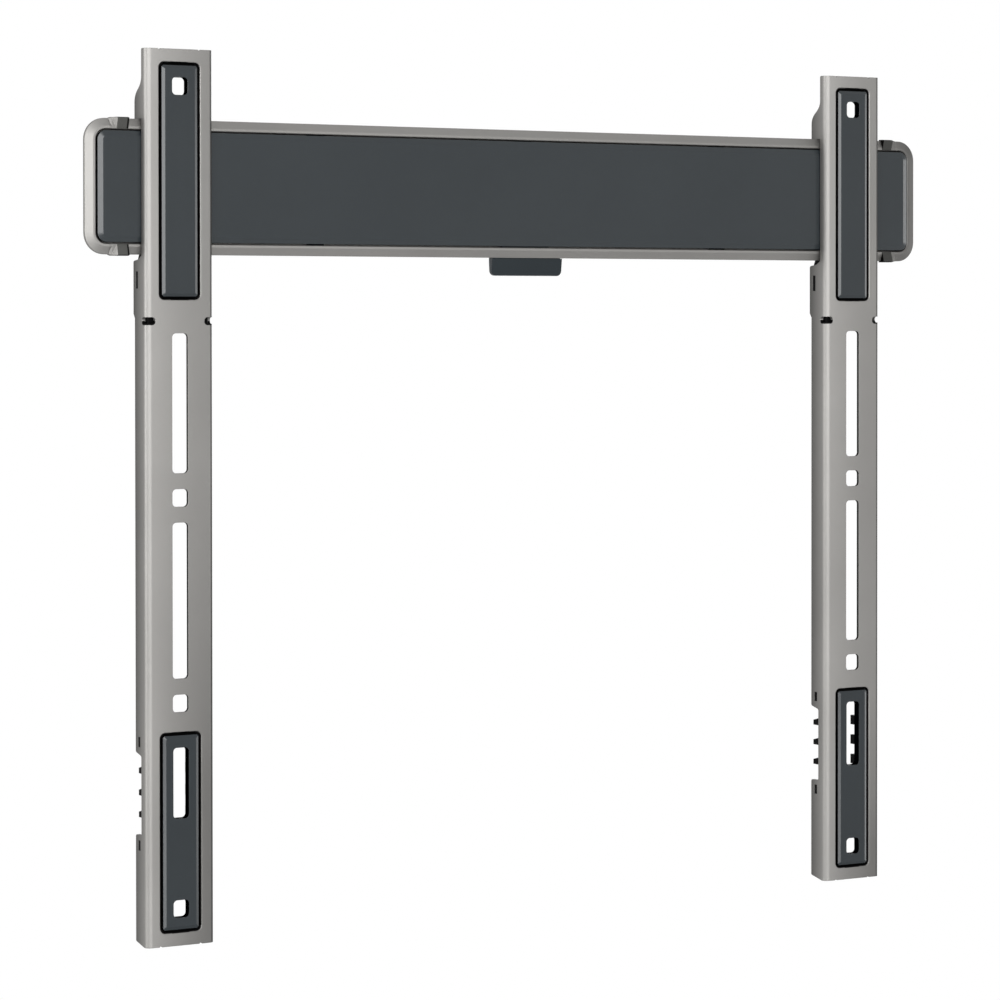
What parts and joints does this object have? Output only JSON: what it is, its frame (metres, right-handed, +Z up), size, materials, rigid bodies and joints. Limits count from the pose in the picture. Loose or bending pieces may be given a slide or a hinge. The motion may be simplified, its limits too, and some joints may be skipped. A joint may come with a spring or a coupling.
{
  "type": "fixed tv wall bracket",
  "caption": "Flat fixed TV wall bracket: a wide pressed wall plate with a dark cover, and upright folded arms with slots and pads that hook over the plate's lip.",
  "frame": {"origin": "middle of the wall plate's back face, on the wall", "axes": "+Z up, +Y into the wall, +X to the right for a person who faces the wall; the television is on the -Y side"},
  "size_m": [0.493, 0.0165, 0.436],
  "materials": {
    "steel": "satin nickel-grey coating",
    "cover": "fine satin anthracite",
    "pad": "matt anthracite",
    "black_moulding": "matt black"
  },
  "bodies": {
    "root": {"wall_plate": "steel", "plate_cover": "cover", "centre_tab": "cover", "left_arm": "steel", "left_upper_pad": "pad", "left_lower_pad": "pad", "left_tooth_rack": "black_moulding", "left_lip_catch": "black_moulding", "right_arm": "steel", "right_upper_pad": "pad", "right_lower_pad": "pad", "right_tooth_rack": "black_moulding", "right_lip_catch": "black_moulding"}
  },
  "joints": []
}
